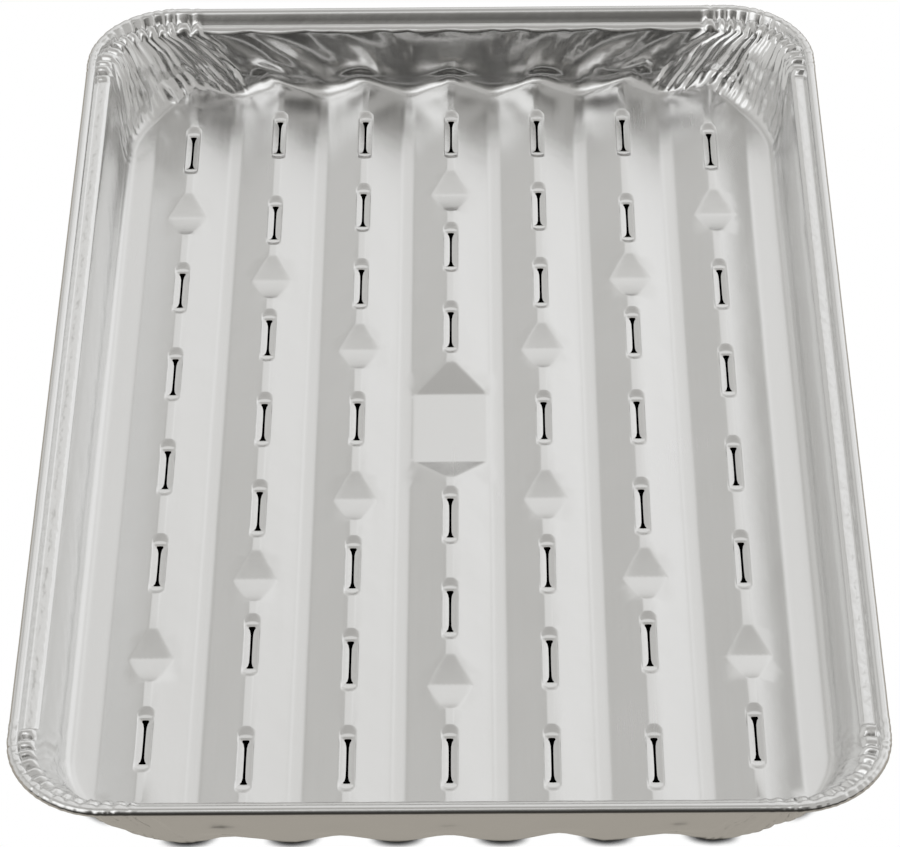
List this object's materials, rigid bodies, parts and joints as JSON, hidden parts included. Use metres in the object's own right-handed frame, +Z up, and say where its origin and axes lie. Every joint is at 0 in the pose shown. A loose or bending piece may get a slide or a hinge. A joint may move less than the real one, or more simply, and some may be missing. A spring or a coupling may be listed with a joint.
{
  "type": "perforated foil grill tray",
  "caption": "Shallow rectangular tray pressed from one sheet of foil, with a ridged floor, drain slots along the ridges, a rising flange and a flat curled hem.",
  "frame": {"origin": "under the middle of the tray, on the surface that it stands on", "axes": "+Z up out of the tray, +Y along the ridges and the long sides, +X across the ridges"},
  "size_m": [0.228, 0.345, 0.0261],
  "materials": {
    "foil": "satin"
  },
  "bodies": {
    "root": {"foil_tray": "foil"}
  },
  "joints": []
}
